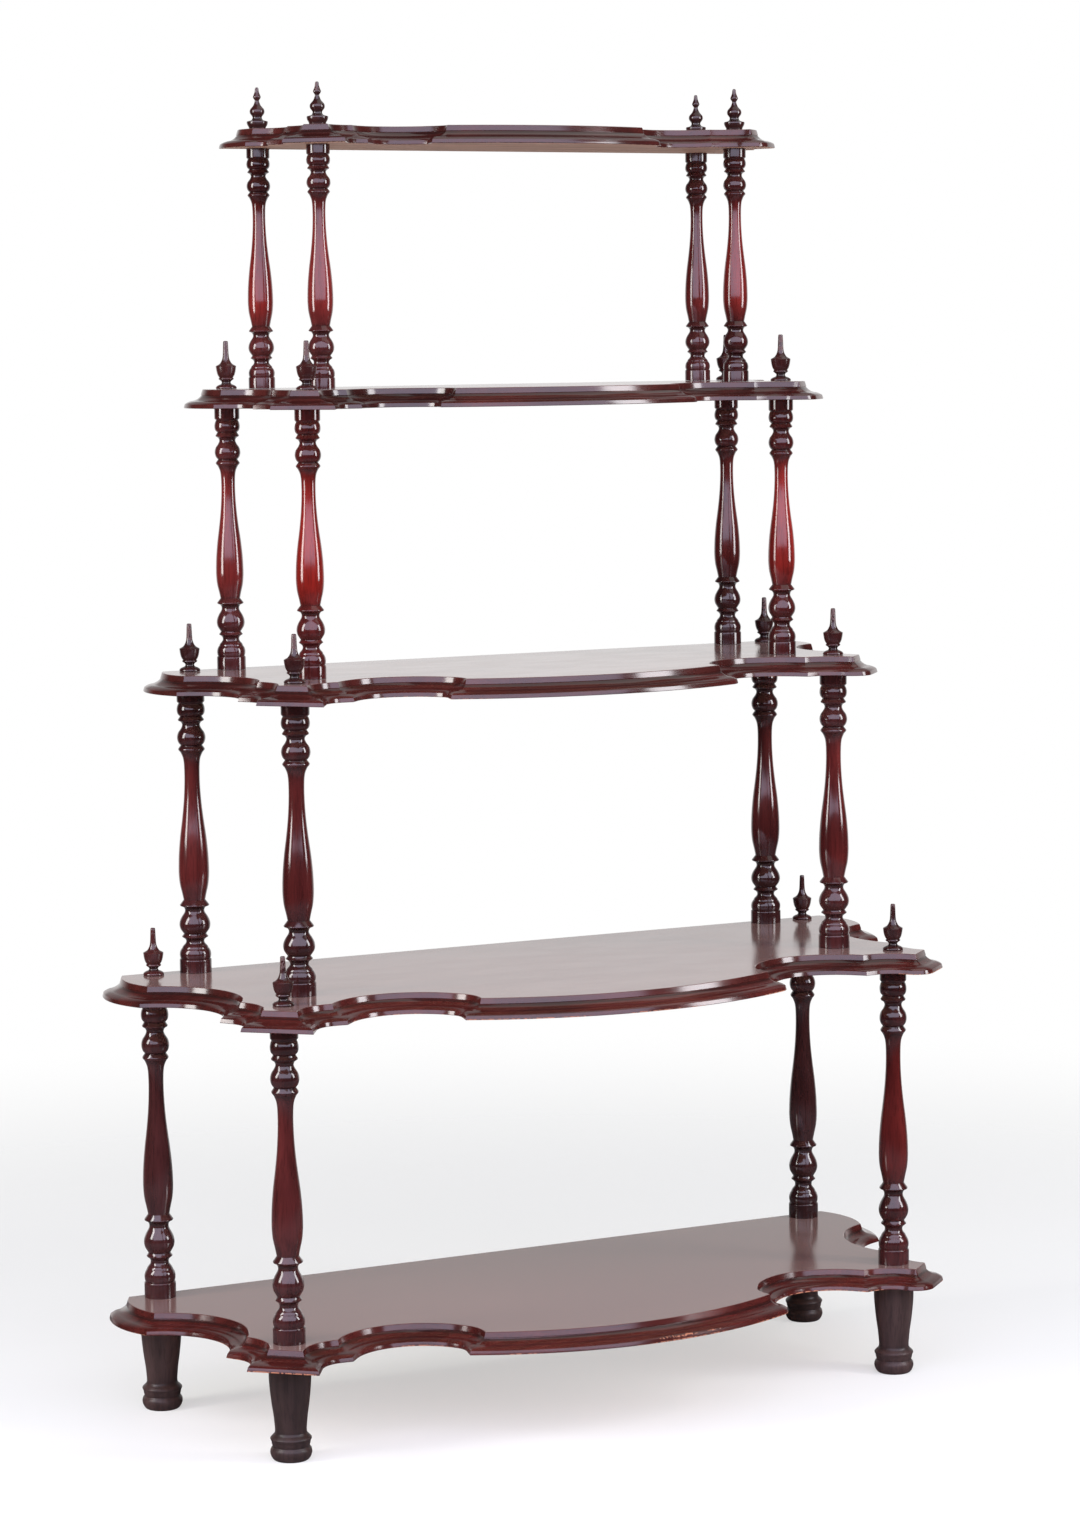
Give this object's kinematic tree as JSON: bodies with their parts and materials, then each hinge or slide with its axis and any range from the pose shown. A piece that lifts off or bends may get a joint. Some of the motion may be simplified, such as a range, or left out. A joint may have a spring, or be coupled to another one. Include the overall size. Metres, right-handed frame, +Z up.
{
  "type": "etagere",
  "caption": "Free-standing display etagere: serpentine moulded shelves that shrink as they rise, carried by turned posts with spired finials and turned feet.",
  "frame": {"origin": "on the floor, midway between the sides and between the front and the back", "axes": "+Z up, -Y to the front, where the shelves bow out, +X to the right of someone facing the etagere"},
  "size_m": [1.0208, 0.441, 1.5486],
  "materials": {
    "shelf_wood": "gloss varnish over red-brown stain",
    "post_wood": "gloss varnish over red-brown stain",
    "finial_wood": "satin varnish, worn at the tips",
    "foot_wood": "satin near-black brown stain"
  },
  "bodies": {
    "root": {"foot_front_left": "foot_wood", "foot_front_right": "foot_wood", "foot_back_left": "foot_wood", "foot_back_right": "foot_wood", "shelf_1": "shelf_wood", "shelf_2": "shelf_wood", "shelf_3": "shelf_wood", "shelf_4": "shelf_wood", "shelf_5": "shelf_wood", "post_1_front_left": "post_wood", "post_1_front_right": "post_wood", "post_1_back_left": "post_wood", "post_1_back_right": "post_wood", "post_2_front_left": "post_wood", "post_2_front_right": "post_wood", "post_2_back_left": "post_wood", "post_2_back_right": "post_wood", "post_3_front_left": "post_wood", "post_3_front_right": "post_wood", "post_3_back_left": "post_wood", "post_3_back_right": "post_wood", "post_4_front_left": "post_wood", "post_4_front_right": "post_wood", "post_4_back_left": "post_wood", "post_4_back_right": "post_wood", "finial_2_front_left": "finial_wood", "finial_2_front_right": "finial_wood", "finial_2_back_left": "finial_wood", "finial_2_back_right": "finial_wood", "finial_3_front_left": "finial_wood", "finial_3_front_right": "finial_wood", "finial_3_back_left": "finial_wood", "finial_3_back_right": "finial_wood", "finial_4_front_left": "finial_wood", "finial_4_front_right": "finial_wood", "finial_4_back_left": "finial_wood", "finial_4_back_right": "finial_wood", "top_finial_front_left": "finial_wood", "top_finial_front_right": "finial_wood", "top_finial_back_left": "finial_wood", "top_finial_back_right": "finial_wood"}
  },
  "joints": []
}
